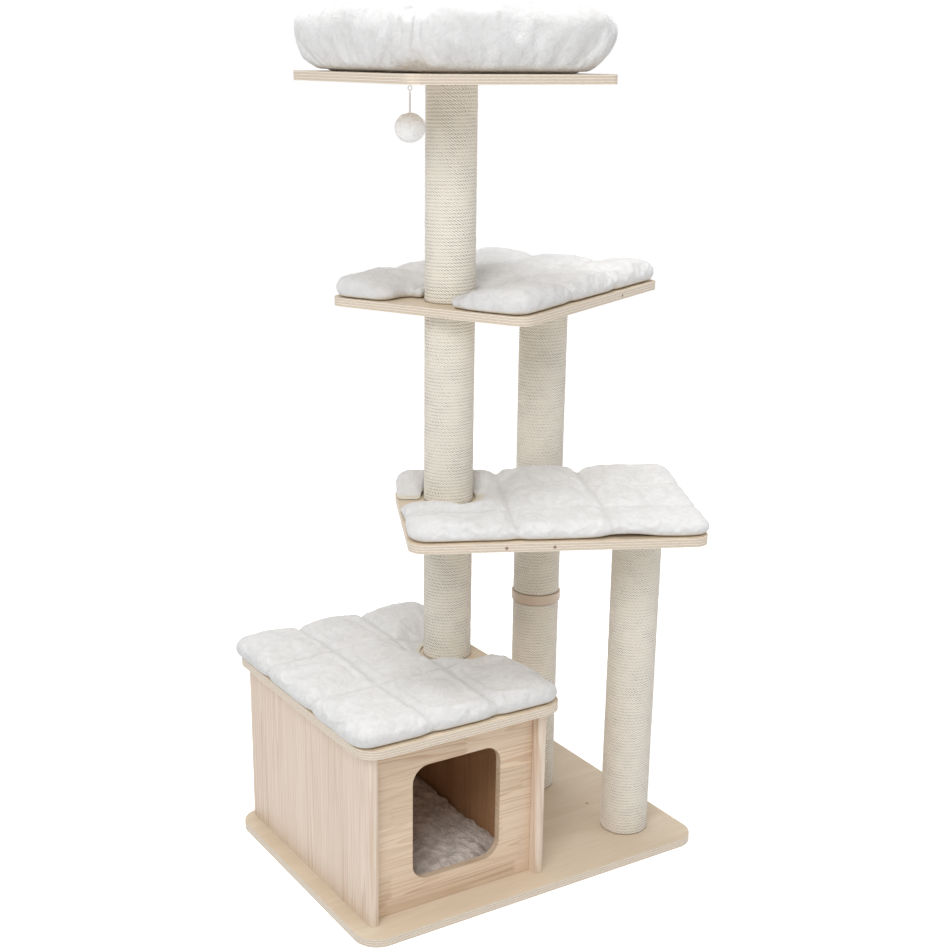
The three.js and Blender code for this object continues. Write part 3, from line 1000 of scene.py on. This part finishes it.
def even_corners(half_x, half_y, corner):
    """A rounded rectangle with the same number of points on every side and corner, whatever its size."""
    points = []
    corners = ((1, -1, -90), (1, 1, 0), (-1, 1, 90), (-1, -1, 180))
    for k, (sx, sy, start) in enumerate(corners):
        cx = sx * (half_x - corner)
        cy = sy * (half_y - corner)
        for j in range(BEND):
            angle = math.radians(start + 90 * j / (BEND - 1))
            points.append(Vector((cx + corner * math.cos(angle), cy + corner * math.sin(angle))))
        nx, ny, next_start = corners[(k + 1) % 4]
        angle = math.radians(next_start)
        end = Vector((nx * (half_x - corner) + corner * math.cos(angle),
                      ny * (half_y - corner) + corner * math.sin(angle)))
        begin = points[-1]
        points += [begin.lerp(end, (j + 1) / (STRAIGHT + 1)) for j in range(STRAIGHT)]
    return points


def make_bed():
    low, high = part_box("bed_bolster")
    centre = centre_of("bed_bolster")
    foot = bottom_of("bed_base_cushion")
    half_x, half_y, _ = half_size_of("bed_bolster")
    half_x += 0.004
    half_y += 0.002
    thick = 0.084
    start_z = foot + 0.003
    tall = high[2] - start_z
    widest = 0.64  # how far up the roll is widest
    outer = even_corners(half_x, half_y, 0.052)
    outer_foot = even_corners(half_x - 0.012, half_y - 0.012, 0.095)
    inner = even_corners(half_x - thick, half_y - thick, 0.030)
    corner_at = [BEND // 2 + (BEND + STRAIGHT) * k for k in range(4)]
    count = len(outer)

    def steps_to_corner(k):
        return min(min(abs(k - c), count - abs(k - c)) for c in corner_at)

    vertices = []
    for k in range(count):
        to_corner = steps_to_corner(k)
        # A fold at each corner, sides that swell out between the corners, and a top that sways and dips.
        groove = math.exp(-((to_corner / 1.8) ** 2)) * 0.6
        swell_out = 0.006 * math.exp(-(((to_corner - 22) / 16) ** 2))
        middle = (outer[k] + inner[k]) / 2
        sway = noise.noise(Vector((middle.x * 8, middle.y * 8, 2.0)))
        dip = 0.010 * math.exp(-((to_corner / 9) ** 2))
        height = tall * (0.972 + 0.035 * sway) - 0.006 * groove - dip
        for s in range(BED_SECTION):
            angle = 2 * math.pi * s / BED_SECTION
            c = math.cos(angle)
            sn = math.sin(angle)
            across = abs(c) ** (0.62 if sn >= 0 else 0.42)
            if sn >= 0:
                z = height * (widest + (1 - widest) * sn ** 0.86)
            else:
                z = height * widest * (1 - abs(sn) ** 0.86)
            level = min(1.0, z / (height * widest))
            settle = 1 - (1 - level) ** 1.7
            if c >= 0:
                side = outer_foot[k].lerp(outer[k], settle)
            else:
                side = inner[k]
            point = middle.lerp(side, across)
            away = (side - middle).normalized()
            # Long folds low down, broad ones everywhere, and gathers that run into each corner.
            folds = noise.noise(Vector((side.x * 34, side.y * 34, z * 11))) * 0.0035 * (1 - 0.6 * level)
            folds += noise.noise(Vector((side.x * 15, side.y * 15, z * 15 + 4))) * 0.004
            gathers = noise.noise(Vector((k * 0.55, z * 9, 8.0))) * 0.007
            folds += gathers * math.exp(-((to_corner / 10) ** 2)) * max(0.0, 1 - level)
            point = point + away * (swell_out + folds - 0.007 * groove) * across
            vertices.append((centre.x + point.x, centre.y + point.y, start_z + z))
    bolster = new_object("bed_bolster_plush", vertices, ring_faces(count, BED_SECTION))
    pinned = {}
    for index, vertex in enumerate(bolster.data.vertices):
        if vertex.co.z < start_z + 0.008 or steps_to_corner(index // BED_SECTION) == 0:
            pinned[index] = 1.0
    swell(bolster, pinned, 2.5, 14, -0.045, 0.007)
    subdivide(bolster)
    add_pile(bolster, 0.0013, 120.0, start_z, 4)
    for vertex in bolster.data.vertices:
        vertex.co.z = max(vertex.co.z, start_z - 0.002)
    white = plush("bed_plush", (0.77, 0.765, 0.765), (0.67, 0.665, 0.66), clump=1.2)
    dress(bolster, white)
    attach(bolster, "bed")
    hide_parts("bed_bolster")

    def floor_heights(flat, to_edge):
        return 0.010 + 0.022 * dome(to_edge, 0.04), 0.010 - 0.008 * dome(to_edge, 0.02)

    inner_x = half_x - thick * 0.72
    inner_y = half_y - thick * 0.72
    shell = pad_shell(rounded_outline(inner_x, inner_y, 0.05), floor_heights, 11)
    floor_pad = new_object("bed_floor_plush", shell[0], shell[1])
    subdivide(floor_pad)
    add_pile(floor_pad, 0.002, 100.0, 0.006, 6)
    floor_pad.data.transform(Matrix.Translation((centre.x, centre.y, foot + 0.0125)))
    dress(floor_pad, white)
    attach(floor_pad, "bed")

    base_x, base_y = (half - 0.006 for half in half_size_of("bed_base_cushion")[:2])

    def base_heights(flat, to_edge):
        return 0.006 + 0.0065 * dome(to_edge, 0.009), 0.006 - 0.0055 * dome(to_edge, 0.009)

    shell = pad_shell(rounded_outline(base_x, base_y, 0.07), base_heights, 12)
    base = new_object("bed_base_cloth", shell[0], shell[1])
    subdivide(base)
    base.data.transform(Matrix.Translation((centre.x, centre.y, foot)))
    dress(base, cotton("bed_cotton", (0.80, 0.74, 0.64)))
    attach(base, "bed")
    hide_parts("bed_base_cushion")


# ---- cave cushion ----
def make_cave_cushion():
    low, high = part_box("cave_cushion")
    centre = centre_of("cave_cushion")
    half_x, half_y, _ = half_size_of("cave_cushion")
    tall = high[2] - low[2]

    def heights_at(flat, to_edge):
        bumps = np.array([noise.noise(Vector((p[0] * 16, p[1] * 16, 5.0))) for p in flat])
        crown = 0.82 + 0.30 * np.clip(to_edge / 0.12, 0, 1)
        above = 0.012 + (tall - 0.012) * dome(to_edge, 0.04) * crown * (0.95 + 0.2 * bumps)
        return above, 0.012 - 0.0108 * dome(to_edge, 0.015)

    shell = pad_shell(rounded_outline(half_x, half_y, 0.035), heights_at, 21)
    piece = new_object("cave_cushion_plush", shell[0], shell[1])
    free = set(shell[2])
    swell(piece, {i: 1.0 for i in range(len(shell[0])) if i not in free}, 3.0, 12, -0.05, 0.006)
    subdivide(piece)
    add_pile(piece, 0.006, 70.0, 0.004, 9)
    for vertex in piece.data.vertices:
        vertex.co.z = max(vertex.co.z, 0.0006)
    piece.data.transform(Matrix.Translation((centre.x, centre.y, low[2])))
    dress(piece, plush("cave_plush", (0.96, 0.88, 0.82), (0.56, 0.49, 0.44), clump=1.5, depth=2.2))
    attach(piece, "frame")
    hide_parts("cave_cushion")


# ---- hanging ball ----
def make_ball():
    low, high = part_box("pompom_ball")
    centre = centre_of("pompom_ball")
    radius = (high[0] - low[0]) / 2
    core = bmesh.new()
    bmesh.ops.create_icosphere(core, subdivisions=6, radius=radius * 0.94)
    for vertex in core.verts:
        direction = vertex.co.normalized()
        lump = noise.noise(direction * 3.2) * 0.06 + noise.noise(direction * 12) * 0.035
        lump += noise.noise(direction * 34) * 0.035
        vertex.co *= 1 + lump
        vertex.co.x *= 1.07
        vertex.co.y *= 1.07
    mesh = bpy.data.meshes.new("pompom_plush")
    core.to_mesh(mesh)
    core.free()
    mesh.shade_smooth()
    mesh.transform(Matrix.Translation(centre))
    piece = add_object("pompom_plush", mesh)
    dress(piece, plush("pompom_plush_mat", (0.96, 0.955, 0.95), (0.90, 0.89, 0.88), clump=0.5, depth=0.35))
    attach(piece, "ball")
    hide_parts("pompom_ball")
    return piece


def make_cord():
    low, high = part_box("pompom_cord")
    centre = centre_of("pompom_cord")
    curve = bpy.data.curves.new("pompom_thread", "CURVE")
    curve.dimensions = "3D"
    curve.bevel_depth = (high[0] - low[0]) / 2
    curve.bevel_resolution = 3
    curve.use_fill_caps = True
    spline = curve.splines.new("POLY")
    count = 17
    spline.points.add(count - 1)
    for k in range(count):
        z = high[2] + (low[2] - high[2]) * k / (count - 1)
        spline.points[k].co = (centre.x, centre.y, z, 1)
    # The thread tapers at its top end, which keeps it clear of the ring when the ball swings.
    spline.points[0].radius = 0.3
    spline.points[1].radius = 0.75
    piece = add_object("pompom_thread", curve)
    tools = Nodes("thread_mat", roughness=0.8, sheen=0.2)
    x, _, z = tools.separate(tools.coordinates())[:3]
    twist = tools.math("PINGPONG", tools.plus(tools.times(z, 420.0), tools.times(x, 500.0)), 0.5)
    # Painted shade: each turn of the twisted thread darkens into its groove.
    tools.colour(tools.ramp(twist, [(0.0, (0.62, 0.60, 0.57)), (0.5, (0.90, 0.89, 0.87))]))
    tools.bump([(twist, 0.6, 0.0008)])
    curve.materials.append(tools.material)
    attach(piece, "ball")
    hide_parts("pompom_cord")


def make_eyelet():
    """A smooth ring in place of the faceted CAD ring."""
    low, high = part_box("pompom_eyelet")
    centre = centre_of("pompom_eyelet")
    wire = (high[1] - low[1]) / 2
    major = (high[2] - low[2]) / 2 - wire
    vertices = []
    around, across = 48, 14
    for k in range(around):
        a = 2 * math.pi * k / around
        for s in range(across):
            b = 2 * math.pi * s / across
            reach = major + wire * math.cos(b)
            offset = Vector((reach * math.cos(a), wire * math.sin(b), reach * math.sin(a)))
            vertices.append(centre + offset)
    piece = new_object("pompom_ring", vertices, ring_faces(around, across, inside_out=True))
    dress(piece, simple("ring_plastic", (0.88, 0.88, 0.87), 0.35))
    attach(piece, "eyelet")
    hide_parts("pompom_eyelet")


# ---- making everything ----
ball = make_ball()
make_cord()
make_eyelet()

SEGMENTS = ("main_post_lower", "main_post_middle", "main_post_upper",
            "rear_post_lower", "rear_post_upper", "right_post")
for segment in SEGMENTS:
    winding(f"{segment}_rope", f"{segment}_sisal")

make_pads()
make_bed()
make_cave_cushion()


KNOT = 0.0042  # radius of the dark knots in the platforms' edges


def edge_knot(platform, along):
    """A small dark knot in a platform's front edge, so far along it from the middle."""
    turn = math.radians(platform["turn"])
    x, y = along, -platform["depth"] / 2
    centre = platform["centre"]
    place = (
        centre.x + x * math.cos(turn) - y * math.sin(turn),
        centre.y + x * math.sin(turn) + y * math.cos(turn),
        platform["top"] - PLY * 0.55,
    )
    return place, KNOT


def dress_frame():
    """Gives every CAD node that still shows its own finish, and eases the sharp edges."""
    plates = {
        "base_plate": (0.0, (((0.254, -0.054, PLY), 0.004),)),
        "house_top_plate": (90.0, ()),
        "lower_platform": (LOWER["turn"], (edge_knot(LOWER, -0.094), edge_knot(LOWER, -0.012))),
        "middle_platform": (MIDDLE["turn"], (edge_knot(MIDDLE, 0.100),)),
        "upper_platform": (0.0, ()),
    }
    for node, (turn, knots) in plates.items():
        ease_edges(node, 0.0016)
        dress(NODES[node], plywood(f"{node}_ply", turn, bottom_of(node), knots))
    # The cave's inner faces get painted shade between these planes.
    left_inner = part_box("house_left_wall")[1][0] - 0.0005
    right_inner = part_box("house_right_wall")[0][0] + 0.0005
    panel_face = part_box("house_front_panel")[0][1] + 0.002
    side = pine("pine_side", "Z", "Y", (0.83, 0.70, 0.58), (0.58, 0.39, 0.27), 0.062,
                lines=22.0, straight=60.0, inside=(left_inner, right_inner, panel_face))
    front = pine("pine_front", "X", "Z", (0.81, 0.645, 0.485), (0.56, 0.355, 0.21), 0.047,
                 lines=20.0, straight=22.0, fingers=True)
    for node, material in (
        ("house_left_wall", side),
        ("house_right_wall", side),
        ("house_front_panel", front),
        ("house_back_panel", front),
    ):
        ease_edges(node, 0.0012)
        dress(NODES[node], material)
    ease_edges("rear_spacer_ring", 0.0015)
    beech = simple("beech_ring", (0.74, 0.60, 0.48), 0.45, 0, 30.0, 0.14, (1, 1, 6))
    dress(NODES["rear_spacer_ring"], beech)
    card = simple("card_tube", (0.50, 0.39, 0.27), 0.85, 0, 40.0, 0.2, (1, 1, 3))
    raw = simple("raw_plug", (0.66, 0.52, 0.36), 0.7, 0, 30.0, 0.2, (6, 1, 1))
    zinc = simple("zinc_steel", (0.66, 0.67, 0.68), 0.35, 1.0, 200.0, 0.1)
    for node in NODES:
        if node.endswith("_tube"):
            dress(NODES[node], card)
        elif node.endswith("_plug"):
            dress(NODES[node], raw)
        elif node.endswith(("_bolt", "_stud")):
            dress(NODES[node], zinc)
    ease_edges("pompom_button", 0.0006)
    dress(NODES["pompom_button"], simple("button_plastic", (0.88, 0.88, 0.87), 0.35))


dress_frame()


# ---- studio ----
BOUNCE = 0.96  # light coming back up off the floor
HORIZON = 0.37
ZENITH = 0.62
FLOOR_GLOW = 0.52  # keeps the floor white to the camera
# Name, place, size and power of each lamp.
LAMPS = (
    ("key", (-2.3, -2.1, 3.0), 1.5, 57.0),
    ("overhead", (-0.1, -0.1, 5.0), 2.2, 92.0),
    ("fill", (2.8, -2.0, 2.2), 2.4, 8.0),
    ("back", (0.5, 3.0, 3.0), 2.4, 12.0),
)


def make_world():
    """Soft light, strongest from overhead and off the white floor. The camera sees plain white."""
    world = bpy.data.worlds.new("studio_world")
    world.use_nodes = True
    tree = world.node_tree
    add = tree.nodes.new
    join = tree.links.new
    light = tree.nodes["Background"]
    light.inputs["Strength"].default_value = 1.0
    direction = add("ShaderNodeTexCoord")
    split = add("ShaderNodeSeparateXYZ")
    join(direction.outputs["Generated"], split.inputs[0])
    lift = add("ShaderNodeMapRange")
    lift.inputs["From Min"].default_value = -1
    lift.inputs["From Max"].default_value = 1
    join(split.outputs[2], lift.inputs["Value"])
    ramp = add("ShaderNodeValToRGB")
    fill_ramp(ramp, [(0.0, BOUNCE), (0.47, BOUNCE), (0.53, HORIZON), (1.0, ZENITH)])
    join(lift.outputs[0], ramp.inputs["Fac"])
    join(ramp.outputs["Color"], light.inputs["Color"])
    seen = add("ShaderNodeBackground")
    seen.inputs["Color"].default_value = (1, 1, 1, 1)
    path = add("ShaderNodeLightPath")
    choose = add("ShaderNodeMixShader")
    join(path.outputs["Is Camera Ray"], choose.inputs[0])
    join(light.outputs[0], choose.inputs[1])
    join(seen.outputs[0], choose.inputs[2])
    join(choose.outputs[0], tree.nodes["World Output"].inputs["Surface"])
    bpy.context.scene.world = world


def make_studio():
    white = bpy.data.materials.new("studio_white")
    white.use_nodes = True
    shader = white.node_tree.nodes["Principled BSDF"]
    shader.inputs["Base Color"].default_value = (0.93, 0.93, 0.93, 1)
    shader.inputs["Roughness"].default_value = 0.9
    shader.inputs["Emission Color"].default_value = (1, 1, 1, 1)
    shader.inputs["Emission Strength"].default_value = FLOOR_GLOW
    size = 30.0
    corners = [(sx * size, sy * size, -0.0005) for sx, sy in ((-1, -1), (1, -1), (1, 1), (-1, 1))]
    floor = new_object("studio_floor", corners, [(0, 1, 2, 3)], False)
    dress(floor, white)
    floor.visible_diffuse = False
    make_world()
    for name, place, size, power in LAMPS:
        data = bpy.data.lights.new(name, "AREA")
        data.size = size
        data.energy = power
        lamp = add_object(name, data)
        lamp.location = place
        lamp.rotation_mode = "QUATERNION"
        lamp.rotation_quaternion = (Vector(place) - Vector((0, 0, 0.8))).to_track_quat("Z", "Y")
    bpy.context.scene.view_settings.view_transform = "Standard"


make_studio()
